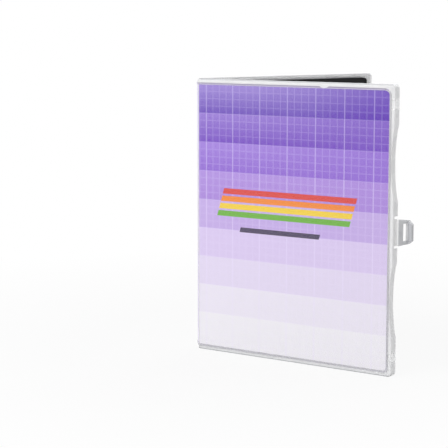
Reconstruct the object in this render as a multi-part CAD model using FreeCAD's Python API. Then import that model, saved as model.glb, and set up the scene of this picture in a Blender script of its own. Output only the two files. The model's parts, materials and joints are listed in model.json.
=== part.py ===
import FreeCAD, Part
import math
import os

# Game cartridge binder case: two clear moulded trays and a spine panel on living hinges, a latch tab,
# a printed paper wrap under welded film, and pocket pages on three strap rings. Millimetres, +Z up.
# A cover is drawn in its own frame: x from its hinge axis to the fore edge, y from its outer face inwards.

# Whole case
CASE_HEIGHT = 228.6
COVER_WIDTH = 184.0
CASE_DEPTH = 15.0
BACK_OPEN = 30.5
FRONT_OPEN = 38.0

# Moulded trays
PLATE = 1.3
WALL = 1.5
SPINE_PLATE = 1.3
RIM_GAP = 0.4
FORE_RADIUS = 3.3
EDGE_ROUND = 0.8

# Living hinges
WEB_RADIUS = 0.3
WEB_PLAY = 0.05
BEVEL_PLAY = 0.1
SPINE_GAP = 0.3

# Finger scallops in the fore edge
SCALLOP_LENGTH = 60.0
SCALLOP_DEPTH = 2.2
SCALLOP_BLEND = 30.0
SCALLOP_OFFSET = 53.7
FINGER_DROP = 1.3
FINGER_RAMP = 4.0

# Stiffening blocks inside the fore wall
BLOCK_INSET = 11.3
BLOCK_HEIGHT = 7.5
BLOCK_REACH = 1.8
BLOCK_DROP = 1.0

# Latch tab and its catch
LATCH_OPEN = 26.0
LATCH_DEPTH = 2.2
LATCH_WIDTH = 21.0
LATCH_TAPER = 1.2
LATCH_SIDE_GAP = 2.0
LATCH_GAP = 0.25
LATCH_WEB = 2.0
LATCH_ROOT = 1.6
LATCH_ARM = 2.2
LATCH_OVERHANG = 0.4
LIP_THICK = 2.2
LIP_REACH = 4.7
LIP_CHAMFER = 2.8
BEND_ROUND = 1.2
WINDOW_BAR = 0.2
WINDOW_LENGTH = 4.0
WINDOW_WIDTH = 13.5
CATCH_PLAY = 0.3
CATCH_SINK = 0.2

# Printed wrap and the film over it
INSERT = 0.3
INSERT_BORDER = 4.6
INSERT_RADIUS = 4.0
INSERT_FOOT_RADIUS = 2.0
INSERT_PLAY = 0.05
HINGE_MARGIN = 0.7
FILM = 0.25
FILM_MARGIN = 0.4
WELD_BAND = 1.6
POCKET_PLAY = 0.3
THUMB_PLACE = 121.0
THUMB_RADIUS = 8.0
THUMB_DEPTH = 1.2

# Strap rings
RING_PITCH = 70.0
RING_EDGE = 7.0
RING_INSIDE = 13.0
RING_STRAP = 2.0
RING_WIDTH = 6.0
RING_FOOT = 1.2
RING_RADIUS = 4.0
RING_HEADROOM = 1.8
RING_SLIT = 0.3
RING_SLIT_DROP = 3.6

# Pocket pages
PAGE_COUNT = 3
SHEET = 0.5
PAGE_PLAY = 0.1
PAGE_BINDING = 7.5
PAGE_FORE_PLAY = 3.0
PAGE_END_PLAY = 2.1
PAGE_RADIUS = 3.5
SLOT_PLAY = 1.2
POCKET_FIRST = 15.5
POCKET_PITCH = 36.0
POCKET_ROW = 43.0
POCKET_HEIGHT = 40.0
POCKET_SEAM = 2.5
POCKET_CLEAR = 0.5
POCKET_FILM = 0.3
MOUTH_RADIUS = 7.0
MOUTH_DEPTH = 3.5

# Worked out from the above
CUT = 5.0
HALF_HEIGHT = CASE_HEIGHT / 2
REACH = COVER_WIDTH - WEB_RADIUS
AXIS_SPAN = CASE_DEPTH - 2 * WEB_RADIUS
RIM = (CASE_DEPTH - RIM_GAP) / 2
WALL_START = SPINE_PLATE - WEB_RADIUS + SPINE_GAP
BASE_MID = (WALL_START + REACH - FORE_RADIUS) / 2
LATCH_END = CASE_DEPTH + LATCH_OVERHANG - LATCH_DEPTH
LATCH_OUT = LATCH_GAP + LATCH_ARM
WINDOW_END = LATCH_END - LIP_THICK - WINDOW_BAR
INSERT_RISE = INSERT + INSERT_PLAY
RING_HEIGHT = CASE_DEPTH - 2 * PLATE - RING_HEADROOM
RING_OUTER = RING_EDGE + 2 * RING_STRAP + RING_INSIDE
RING_LEVELS = {"lower": -RING_PITCH, "middle": 0.0, "upper": RING_PITCH}
SLOT_PLACE = RING_OUTER - RING_STRAP / 2
SLOT_WIDTH = RING_STRAP + 2 * SLOT_PLAY
SLOT_HEIGHT = RING_WIDTH + 2 * SLOT_PLAY
PAGE_START = SLOT_PLACE - PAGE_BINDING
PAGE_END = REACH - WALL - PAGE_FORE_PLAY
PAGE_FOOT = WALL + PAGE_END_PLAY
PAGE_STEP = SHEET + POCKET_CLEAR + POCKET_FILM + PAGE_PLAY


def point(x, y, z=0.0):
    return FreeCAD.Vector(x, y, z)


def line(start, end):
    return Part.LineSegment(start, end).toShape()


def arc(start, middle, end):
    return Part.Arc(start, middle, end).toShape()


def block(x0, x1, y0, y1, z0, z1):
    return Part.makeBox(x1 - x0, y1 - y0, z1 - z0, point(x0, y0, z0))


def prism(corners, height):
    """Straight-sided solid over a closed run of corners."""
    normal = point(*height)
    return Part.Face(Part.makePolygon(corners + corners[:1])).extrude(normal)


def slab(face, y0, y1):
    """Sheet of a cover: a face drawn at y = 0, made a solid from y0 to y1."""
    moved = face.translated(point(0, y0))
    return moved.extrude(point(0, y1 - y0))


def on_circle(centre, radius, degrees):
    """Point of a circle in the plane of a cover."""
    angle = math.radians(degrees)
    return point(centre[0] + radius * math.cos(angle), 0, centre[1] + radius * math.sin(angle))


def scallop_edges(middle, inset):
    """Finger scallop centred at one height: a hollow arc between two blending arcs."""
    half = SCALLOP_LENGTH / 2
    turn = 2 * math.degrees(math.atan(SCALLOP_DEPTH / half))
    hollow = half / math.sin(math.radians(turn)) - SCALLOP_BLEND
    low = (REACH - SCALLOP_BLEND, middle - half)
    high = (REACH - SCALLOP_BLEND, middle + half)
    outer = (REACH - SCALLOP_DEPTH + hollow, middle)
    blend = SCALLOP_BLEND - inset
    start = on_circle(low, blend, turn)
    end = on_circle(high, blend, -turn)
    return [
        arc(on_circle(low, blend, 0), on_circle(low, blend, turn / 2), start),
        arc(start, on_circle(outer, hollow + inset, 180), end),
        arc(end, on_circle(high, blend, -turn / 2), on_circle(high, blend, 0)),
    ]


def cover_face(inset, start):
    """Outline of a cover, drawn in by inset, with its hinge side at x = start."""
    fore = REACH - inset
    radius = FORE_RADIUS - inset
    low = inset
    high = CASE_HEIGHT - inset
    lower = (fore - radius, low + radius)
    upper = (fore - radius, high - radius)
    edges = [line(point(start, 0, low), on_circle(lower, radius, -90))]
    edges.append(arc(*[on_circle(lower, radius, turn) for turn in (-90, -45, 0)]))
    for side in (-1, 1):
        scallop = scallop_edges(HALF_HEIGHT + side * SCALLOP_OFFSET, inset)
        edges.append(line(edges[-1].Vertexes[-1].Point, scallop[0].Vertexes[0].Point))
        edges += scallop
    edges.append(line(edges[-1].Vertexes[-1].Point, on_circle(upper, radius, 0)))
    edges.append(arc(*[on_circle(upper, radius, turn) for turn in (0, 45, 90)]))
    edges.append(line(on_circle(upper, radius, 90), point(start, 0, high)))
    edges.append(line(point(start, 0, high), point(start, 0, low)))
    return Part.Face(Part.Wire(edges))


def panel_face(x0, x1, z0, z1, foot, head, rounded_start=False):
    """Rectangle with a foot and a head radius at its fore side, and at its hinge side too if asked."""
    corners = [(x1 - foot, z0 + foot, foot, -90), (x1 - head, z1 - head, head, 0)]
    if rounded_start:
        corners += [(x0 + head, z1 - head, head, 90), (x0 + foot, z0 + foot, foot, 180)]
    edges = []
    for x, z, radius, angle in corners:
        turn = [on_circle((x, z), radius, angle + step) for step in (0, 45, 90)]
        if edges:
            edges.append(line(edges[-1].Vertexes[-1].Point, turn[0]))
        edges.append(arc(*turn))
    first = edges[0].Vertexes[0].Point
    last = edges[-1].Vertexes[-1].Point
    if not rounded_start:
        edges += [line(last, point(x0, 0, z1)), line(point(x0, 0, z1), point(x0, 0, z0))]
        last = point(x0, 0, z0)
    edges.append(line(last, first))
    return Part.Face(Part.Wire(edges))


def hinge_groove():
    """What is cut from a cover's hinge side: a groove round the web, and a 45 degree bevel inside."""
    groove = Part.makeCylinder(WEB_RADIUS + WEB_PLAY, CASE_HEIGHT, point(0, WEB_RADIUS))
    start = WEB_RADIUS - BEVEL_PLAY
    rise = PLATE + CUT
    corners = [point(0, start), point(rise - start, rise), point(0, rise)]
    return groove.fuse(prism(corners, (0, 0, CASE_HEIGHT)))


def finger_cut(middle):
    """Low stretch of the rim along a scallop, with a ramp at each end."""
    half = SCALLOP_LENGTH / 2
    floor = RIM - FINGER_DROP
    x = REACH - SCALLOP_DEPTH - WALL - CUT
    corners = [
        point(x, RIM, middle - half),
        point(x, floor, middle - half + FINGER_RAMP),
        point(x, floor, middle + half - FINGER_RAMP),
        point(x, RIM, middle + half),
    ]
    return prism(corners, (SCALLOP_DEPTH + WALL + 2 * CUT, 0, 0))


def corner_block(low):
    """Block moulded inside the fore wall near a corner, from the plate to just under the rim."""
    inner = REACH - WALL
    return block(inner - BLOCK_REACH, inner + WALL / 2, PLATE / 2, RIM - BLOCK_DROP, low, low + BLOCK_HEIGHT)


def tray():
    """Moulded half of the case: plate, walls, corner blocks, rounded outer edge, side of the hinge."""
    plate = slab(cover_face(0, 0), 0, PLATE)
    walls = slab(cover_face(0, WALL_START), 0, RIM)
    walls = walls.cut(slab(cover_face(WALL, -CUT), PLATE, RIM + CUT))
    body = plate.fuse(walls).removeSplitter()
    outer = [e for e in body.Edges if e.BoundBox.YMax < PLATE / 2 and e.BoundBox.XMax > PLATE]
    body = body.makeFillet(min(EDGE_ROUND, PLATE / 2), outer)
    body = body.cut(hinge_groove())
    for side in (-1, 1):
        body = body.cut(finger_cut(HALF_HEIGHT + side * SCALLOP_OFFSET))
    for low in (BLOCK_INSET, CASE_HEIGHT - BLOCK_INSET - BLOCK_HEIGHT):
        body = body.fuse(corner_block(low))
    return body.removeSplitter()


def front_cover():
    """Front tray with the notch that the latch tab swings in."""
    half = LATCH_WIDTH / 2 + LATCH_SIDE_GAP
    floor = LATCH_DEPTH - WEB_RADIUS - WEB_PLAY
    notch = block(REACH - WALL - CUT, REACH + CUT, floor, RIM + CUT, HALF_HEIGHT - half, HALF_HEIGHT + half)
    return tray().cut(notch)


def catch():
    """Wedge on the back tray's fore wall that fills the latch's window when the case is closed."""
    near = CASE_DEPTH - LATCH_DEPTH - WINDOW_END + CATCH_PLAY
    far = near + WINDOW_LENGTH - 2 * CATCH_PLAY
    top = REACH + LATCH_OUT - CATCH_SINK
    root = REACH - WALL / 2
    half = WINDOW_WIDTH / 2 - CATCH_PLAY
    corners = [
        point(root, near, HALF_HEIGHT - half),
        point(top, near, HALF_HEIGHT - half),
        point(top, (near + far) / 2, HALF_HEIGHT - half),
        point(REACH, far, HALF_HEIGHT - half),
        point(root, far, HALF_HEIGHT - half),
    ]
    return prism(corners, (0, 0, 2 * half))


def back_cover():
    """Back tray with the catch."""
    return tray().fuse(catch()).removeSplitter()


def spine_panel():
    """Panel between the hinges, x from the back axis to the front one, with a round web at each edge."""
    start = WEB_RADIUS - BEVEL_PLAY
    bevel = SPINE_PLATE - start
    corners = [
        point(0, 0),
        point(AXIS_SPAN, 0),
        point(AXIS_SPAN, start),
        point(AXIS_SPAN - bevel, SPINE_PLATE),
        point(bevel, SPINE_PLATE),
        point(0, start),
    ]
    body = prism(corners, (0, 0, CASE_HEIGHT))
    for x in (0, AXIS_SPAN):
        body = body.fuse(Part.makeCylinder(WEB_RADIUS, CASE_HEIGHT, point(x, WEB_RADIUS)))
    return body.removeSplitter()


def latch_tab():
    """Latch tab as it lies when closed, in the front cover's frame: web, root, arm and bent finger lip."""
    axis = point(REACH - WEB_RADIUS, LATCH_DEPTH)
    inner = REACH + LATCH_GAP
    outer = REACH + LATCH_OUT
    tip = outer + LIP_REACH
    web_end = LATCH_DEPTH + LATCH_WEB
    root_end = web_end + LATCH_ROOT
    end = LATCH_DEPTH + LATCH_END
    low = HALF_HEIGHT - LATCH_WIDTH / 2
    profile = [
        point(REACH - 2 * WEB_RADIUS, LATCH_DEPTH, low),
        point(REACH, LATCH_DEPTH, low),
        point(REACH, web_end, low),
        point(outer, web_end, low),
        point(outer, end - LIP_THICK, low),
        point(tip, end - LIP_THICK, low),
        point(tip, end, low),
        point(inner, end, low),
        point(inner, root_end, low),
        point(REACH - 2 * WEB_RADIUS, root_end, low),
    ]
    body = prism(profile, (0, 0, LATCH_WIDTH))
    bends = [
        e
        for e in body.Edges
        if e.BoundBox.ZLength > LATCH_WIDTH / 2
        and abs(e.BoundBox.YMax - end) < WEB_RADIUS
        and e.BoundBox.XMax < outer
    ]
    body = body.makeFillet(min(BEND_ROUND, LATCH_ARM / 2), bends)
    body = body.fuse(Part.makeCylinder(WEB_RADIUS, LATCH_WIDTH, point(axis.x, axis.y, low)))
    for side in (-1, 1):
        body = body.cut(latch_trim(side, outer, tip, web_end, end))
    half = WINDOW_WIDTH / 2
    start = LATCH_DEPTH + WINDOW_END - WINDOW_LENGTH
    window = block(REACH, outer + CUT, start, start + WINDOW_LENGTH, HALF_HEIGHT - half, HALF_HEIGHT + half)
    return body.cut(window).removeSplitter()


def latch_trim(side, outer, tip, web_end, end):
    """What is cut from one side of the tab: the arm's taper and the lip's slanted corner."""
    half = side * LATCH_WIDTH / 2
    middle = HALF_HEIGHT
    beyond = middle + half + side * CUT
    bent = middle + half - side * LATCH_TAPER
    narrow = LATCH_TAPER * (end + CUT - web_end) / (end - web_end)
    taper = [
        point(REACH - CUT, web_end, middle + half),
        point(REACH - CUT, end + CUT, middle + half - side * narrow),
        point(REACH - CUT, end + CUT, beyond),
        point(REACH - CUT, web_end, beyond),
    ]
    slant = LIP_CHAMFER / LIP_REACH
    chamfer = [
        point(outer, web_end, bent),
        point(tip + CUT, web_end, bent - side * slant * (LIP_REACH + CUT)),
        point(tip + CUT, web_end, beyond),
        point(outer, web_end, beyond),
    ]
    arm_cut = prism(taper, (tip - REACH + 2 * CUT, 0, 0))
    return arm_cut.fuse(prism(chamfer, (0, end - web_end + CUT, 0)))


def cover_insert():
    """Printed paper on the outer face of a cover."""
    fore = REACH - INSERT_BORDER
    high = CASE_HEIGHT - INSERT_BORDER
    face = panel_face(HINGE_MARGIN, fore, INSERT_BORDER, high, INSERT_FOOT_RADIUS, INSERT_RADIUS)
    return slab(face, -INSERT, 0)


def spine_insert():
    """Printed paper on the outer face of the spine."""
    high = CASE_HEIGHT - INSERT_BORDER
    return block(HINGE_MARGIN, AXIS_SPAN - HINGE_MARGIN, -INSERT, 0, INSERT_BORDER, high)


def cover_overlay():
    """Film over a cover's print: welded at the foot and fore edge, open at the top, with a thumb notch."""
    edge = INSERT_BORDER - WELD_BAND
    top = CASE_HEIGHT - edge
    corners = (INSERT_FOOT_RADIUS + WELD_BAND, INSERT_RADIUS + WELD_BAND)
    sheet = slab(panel_face(FILM_MARGIN, REACH - edge, edge, top, *corners), -INSERT_RISE - FILM, 0)
    fore = REACH - INSERT_BORDER + POCKET_PLAY
    foot = INSERT_BORDER - POCKET_PLAY
    head = CASE_HEIGHT - INSERT_BORDER + POCKET_PLAY
    pocket = panel_face(-CUT, fore, foot, head, INSERT_FOOT_RADIUS, INSERT_RADIUS)
    mouth_end = fore - INSERT_RADIUS
    mouth = block(-CUT, mouth_end, -INSERT_RISE, 0, foot, CASE_HEIGHT)
    thumb_height = top + THUMB_RADIUS - THUMB_DEPTH
    thumb = Part.makeCylinder(THUMB_RADIUS, 2 * CUT, point(THUMB_PLACE, -CUT, thumb_height), point(0, 1))
    return sheet.cut(slab(pocket, -INSERT_RISE, 0)).cut(mouth).cut(thumb)


def spine_overlay():
    """Film over the spine's print, welded at the foot and open at the top."""
    edge = INSERT_BORDER - WELD_BAND
    x1 = AXIS_SPAN - FILM_MARGIN
    sheet = block(FILM_MARGIN, x1, -INSERT_RISE - FILM, 0, edge, CASE_HEIGHT - edge)
    return sheet.cut(block(-CUT, AXIS_SPAN + CUT, -INSERT_RISE, 0, INSERT_BORDER - POCKET_PLAY, CASE_HEIGHT))


def arch(x0, x1, y0, y1, z0, z1, radius):
    """Block with its two upright edges at y1 rounded."""
    body = block(x0, x1, y0, y1, z0, z1)
    middle = (y0 + y1) / 2
    upright = [e for e in body.Edges if e.BoundBox.YMin > middle and abs(e.tangentAt(0).z) > 0.5]
    return body.makeFillet(radius, upright)


def strap_ring(level):
    """Flat strap bent to a loop on the back plate, with the slit where it snaps open."""
    top = PLATE + RING_HEIGHT
    low = HALF_HEIGHT + level - RING_WIDTH / 2
    high = low + RING_WIDTH
    outside = arch(RING_EDGE, RING_OUTER, PLATE, top, low, high, RING_RADIUS)
    inside = arch(
        RING_EDGE + RING_STRAP,
        RING_OUTER - RING_STRAP,
        PLATE + RING_FOOT,
        top - RING_STRAP,
        low - CUT,
        high + CUT,
        RING_RADIUS - RING_STRAP,
    )
    slit_top = top - RING_SLIT_DROP
    slit_start = RING_OUTER - RING_STRAP - RING_SLIT
    slit = block(slit_start, RING_OUTER + CUT, slit_top - RING_SLIT, slit_top, low - CUT, high + CUT)
    return outside.cut(inside).cut(slit)


def page_base(index):
    """Depth of the underside of one page."""
    return PLATE + RING_FOOT + PAGE_PLAY + index * PAGE_STEP


def page_sheet(index):
    """Black sheet with a slot for each ring."""
    base = page_base(index)
    head = CASE_HEIGHT - PAGE_FOOT
    face = panel_face(PAGE_START, PAGE_END, PAGE_FOOT, head, PAGE_RADIUS, PAGE_RADIUS, rounded_start=True)
    sheet = slab(face, base, base + SHEET)
    for level in RING_LEVELS.values():
        x = SLOT_PLACE - SLOT_WIDTH / 2
        low = HALF_HEIGHT + level - SLOT_HEIGHT / 2
        sheet = sheet.cut(block(x, x + SLOT_WIDTH, base - CUT, base + CUT, low, low + SLOT_HEIGHT))
    return sheet


def pocket_strip(x0, columns, foot, base):
    """One row of pockets: a film strip welded at its foot and between the pockets, open at the top."""
    rise = POCKET_CLEAR + POCKET_FILM
    head = foot + POCKET_HEIGHT
    half_seam = POCKET_SEAM / 2
    strip = block(x0, x0 + columns * POCKET_PITCH, base, base + rise, foot, head)
    cuts = []
    for column in range(columns):
        x = x0 + column * POCKET_PITCH
        side = x + POCKET_PITCH - half_seam
        cuts.append(block(x + half_seam, side, base, base + POCKET_CLEAR, foot + POCKET_SEAM, head))
        centre = point(x + POCKET_PITCH / 2, base - CUT, head + MOUTH_RADIUS - MOUTH_DEPTH)
        cuts.append(Part.makeCylinder(MOUTH_RADIUS, 2 * CUT, centre, point(0, 1)))
    return strip.cut(Part.makeCompound(cuts))


def page_pockets(index):
    """Rows of pockets on one sheet, as many as fit on it."""
    base = page_base(index) + SHEET
    x0 = PAGE_START + POCKET_FIRST
    columns = math.floor((PAGE_END - x0) / POCKET_PITCH)
    room = CASE_HEIGHT - 2 * PAGE_FOOT
    rows = math.floor(room / POCKET_ROW)
    first = HALF_HEIGHT - (rows - 1) * POCKET_ROW / 2 - POCKET_HEIGHT / 2
    strips = [pocket_strip(x0, columns, first + row * POCKET_ROW, base) for row in range(rows)]
    return Part.makeCompound(strips)


def turned(shape, axis, degrees):
    """The shape turned about an upright axis."""
    copy = shape.copy()
    copy.rotate(axis, point(0, 0, 1), degrees)
    return copy


BACK_AXIS = point(-BASE_MID, RIM / 2 - WEB_RADIUS)
FRONT_AXIS = BACK_AXIS - point(0, AXIS_SPAN)
LATCH_AXIS = point(REACH - WEB_RADIUS, LATCH_DEPTH)


def place_back(shape):
    """Back cover's frame to the part's frame: its outer face looks along +Y."""
    return shape.mirror(point(0, 0), point(0, 1)).translated(point(-BASE_MID, RIM / 2))


def place_spine(shape):
    """Spine's frame to the part's frame, opened about the back hinge."""
    closed = turned(shape, point(0, 0), -90).translated(BACK_AXIS - point(WEB_RADIUS, 0))
    return turned(closed, BACK_AXIS, -BACK_OPEN)


def place_front(shape):
    """Front cover's frame to the part's frame, opened about both hinges."""
    closed = shape.translated(FRONT_AXIS - point(0, WEB_RADIUS))
    return turned(turned(closed, FRONT_AXIS, -FRONT_OPEN), BACK_AXIS, -BACK_OPEN)


def build():
    """Every sub-part in its place, by node name."""
    parts = {
        "back_cover": place_back(back_cover()),
        "back_insert": place_back(cover_insert()),
        "back_overlay": place_back(cover_overlay()),
        "spine_panel": place_spine(spine_panel()),
        "spine_insert": place_spine(spine_insert()),
        "spine_overlay": place_spine(spine_overlay()),
        "front_cover": place_front(front_cover()),
        "front_insert": place_front(cover_insert()),
        "front_overlay": place_front(cover_overlay()),
        "latch_tab": place_front(turned(latch_tab(), LATCH_AXIS, -LATCH_OPEN)),
    }
    for name, level in RING_LEVELS.items():
        parts["ring_" + name] = place_back(strap_ring(level))
    for index in range(PAGE_COUNT):
        parts["page_%d_sheet" % (index + 1)] = place_back(page_sheet(index))
        parts["page_%d_pockets" % (index + 1)] = place_back(page_pockets(index))
    return parts


os.makedirs("parts", exist_ok=True)
for node, solid in build().items():
    solid.exportStep("parts/" + node + ".step")
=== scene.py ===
"""Looks of a clear binder case for game cartridges, standing open on a white studio floor."""

import json
import logging
import math
from abc import ABC, abstractmethod
from dataclasses import dataclass, fields
from enum import Enum
from typing import Sequence

import bpy
from mathutils import Matrix, Vector


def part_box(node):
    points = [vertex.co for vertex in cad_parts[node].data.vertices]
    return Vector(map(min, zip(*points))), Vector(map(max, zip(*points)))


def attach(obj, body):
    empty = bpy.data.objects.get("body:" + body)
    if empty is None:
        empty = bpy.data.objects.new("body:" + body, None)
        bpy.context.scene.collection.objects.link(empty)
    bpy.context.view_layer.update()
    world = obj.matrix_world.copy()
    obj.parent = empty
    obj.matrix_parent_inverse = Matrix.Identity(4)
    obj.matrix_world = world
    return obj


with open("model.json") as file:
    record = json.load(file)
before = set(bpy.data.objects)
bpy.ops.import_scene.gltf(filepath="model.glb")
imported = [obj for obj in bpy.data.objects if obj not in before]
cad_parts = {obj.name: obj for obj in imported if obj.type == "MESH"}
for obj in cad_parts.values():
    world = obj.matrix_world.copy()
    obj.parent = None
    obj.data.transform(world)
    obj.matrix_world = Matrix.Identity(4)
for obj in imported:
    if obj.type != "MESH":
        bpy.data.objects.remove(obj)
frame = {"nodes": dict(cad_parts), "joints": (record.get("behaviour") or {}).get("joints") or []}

MM = 0.001
LOG = logging.getLogger("binder_case")
HINGES = {joint["name"]: joint for joint in frame["joints"]}
NOISE_RANGE = (0.3, 0.7)
POLYPROPYLENE_IOR = 1.49

Colour = tuple[float, float, float, float]
Material = bpy.types.Material
Socket = bpy.types.NodeSocket
Value = float | Sequence[float] | Socket
Inputs = dict[str | int, Value]
Path = list[tuple[float, float]]


def linear(code: str) -> Colour:
    """Turns a screen colour into the linear values that a shader takes.

    Args:
        code: Six hex digits, red, green and blue.

    Returns:
        Linear red, green and blue, with full alpha.
    """
    parts = [int(code[i:i + 2], 16) / 255 for i in (0, 2, 4)]
    steps = [c / 12.92 if c <= 0.04045 else ((c + 0.055) / 1.055) ** 2.4 for c in parts]
    return (*steps, 1.0)


class Ink(Enum):
    """Colours of the printed wrap, and of the sheen painted on it."""

    PURPLE = "561AB0"
    IRIS = "7344BE"
    VIOLET = "9067D0"
    LILAC = "AE8CDA"
    PALE = "D8C8EC"
    WHITE = "EFEDF2"
    # Lift of each band's top: print, made stronger towards the hinge as painted sheen.
    LIFT = "D9C6FB"
    GRID = "EDE3FF"
    # Painted sheen on the top band.
    GLOW = "F1ECFF"
    SPINE_FOOT = "E3D8F7"
    SPINE = "CBB4F2"
    SPINE_HEAD = "BFA4EE"
    RED = "D8443C"
    ORANGE = "EE8A2E"
    YELLOW = "EFCF3C"
    GREEN = "6FB23C"
    SLATE = "4A3F5C"
    PAPER = "F1F0F2"

    @property
    def rgba(self) -> Colour:
        """Linear colour of the ink."""
        return linear(self.value)

    @classmethod
    def stripes(cls) -> tuple["Ink", ...]:
        """Inks of the stripes, in order."""
        return cls.RED, cls.ORANGE, cls.YELLOW, cls.GREEN


class Panel(Enum):
    """Panels of the case, each with the body that it belongs to."""

    FRONT = "front_cover"
    SPINE = "spine"
    BACK = "back_cover"


@dataclass(frozen=True)
class PanelFrame:
    """Place of one panel: x runs from its hinge, y from its outer face inwards, z up.

    Attributes:
        origin: Point of the outer face beside the hinge, at the foot.
        turn: Angle of x about the upright axis, in radians.
        flip: -1 where the panel is a mirror image, else 1.
    """

    origin: tuple[float, float]
    turn: float
    flip: int = 1

    def matrix(self) -> Matrix:
        """Matrix from the panel's frame to the part's frame."""
        place = Matrix.Translation((*self.origin, 0.0)) @ Matrix.Rotation(self.turn, 4, "Z")
        return place @ Matrix.Diagonal((1.0, float(self.flip), 1.0, 1.0))

    def flat(self, rise: float) -> Matrix:
        """Matrix from a flat drawing, x along, y up and z outwards, raised off the outer face."""
        lie = Matrix(((1, 0, 0, 0), (0, 0, -1, -rise), (0, 1, 0, 0), (0, 0, 0, 1)))
        return self.matrix() @ lie

    def mapping(self) -> tuple[Vector, Vector, Vector]:
        """Settings of a Mapping node from the part's frame to the panel's.

        Returns:
            Its location, rotation and scale.
        """
        back = Matrix.Rotation(-self.flip * self.turn, 3, "Z")
        scale = Vector((1.0, float(self.flip), 1.0))
        start = Vector((self.origin[0], self.flip * self.origin[1], 0.0))
        return -(back @ start), Vector((0.0, 0.0, -self.flip * self.turn)), scale


@dataclass(frozen=True)
class CaseSizes:
    """Sizes of the case that the looks depend on, in metres."""

    height: float = 228.6 * MM
    reach: float = 183.7 * MM
    web_radius: float = 0.3 * MM
    hinge_span: float = 14.4 * MM
    print_border: float = 4.6 * MM
    print_thick: float = 0.3 * MM
    film_rise: float = 0.6 * MM
    film_margin: float = 0.4 * MM
    weld_band: float = 1.6 * MM
    foot_radius: float = 2.0 * MM
    head_radius: float = 4.0 * MM
    block_inset: float = 11.3 * MM
    block_height: float = 7.5 * MM
    block_depth: float = 3.3 * MM

    @property
    def print_top(self) -> float:
        """Height of the top edge of the printed wrap."""
        return self.height - self.print_border

    @property
    def print_fore(self) -> float:
        """Distance of the wrap's fore edge from the hinge."""
        return self.reach - self.print_border


def panel_frames(sizes: CaseSizes) -> dict[Panel, PanelFrame]:
    """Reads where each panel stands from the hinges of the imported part.

    Args:
        sizes: Sizes of the case.

    Returns:
        The frame of each panel.
    """
    back, front = HINGES["back_hinge"], HINGES["front_hinge"]
    back_open = math.radians(-back["range_deg"][0])
    front_open = math.radians(-front["range_deg"][0])
    web = sizes.web_radius
    spine_turn = -math.pi / 2 - back_open
    front_turn = -back_open - front_open
    spine_out = Vector((-math.sin(spine_turn), math.cos(spine_turn)))
    front_out = Vector((-math.sin(front_turn), math.cos(front_turn)))
    spine_start = Vector(back["pos_m"][:2]) - web * spine_out
    front_start = Vector(front["pos_m"][:2]) - web * front_out
    back_start = (back["pos_m"][0], back["pos_m"][1] + web)
    return {
        Panel.FRONT: PanelFrame(tuple(front_start), front_turn),
        Panel.SPINE: PanelFrame(tuple(spine_start), spine_turn),
        Panel.BACK: PanelFrame(back_start, 0.0, -1),
    }


def latch_frame() -> PanelFrame:
    """Reads where the latch tab stands from the angles of the three hinges.

    Returns:
        Its frame: x runs from its hinge along its arm.
    """
    opened = sum(joint["range_deg"][0] for joint in HINGES.values())
    place = HINGES["latch_hinge"]["pos_m"]
    return PanelFrame(tuple(place[:2]), math.pi / 2 + math.radians(opened))


@dataclass(frozen=True)
class Grain:
    """Fine pattern of a finish, and the bump that it may make.

    Attributes:
        size: Size of one grain, in metres.
        detail: How many finer layers it has.
        strength: Strength of its bump.
        depth: Depth of its bump, in metres.
    """

    size: float
    detail: float = 2.0
    strength: float = 0.0
    depth: float = 0.0


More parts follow.
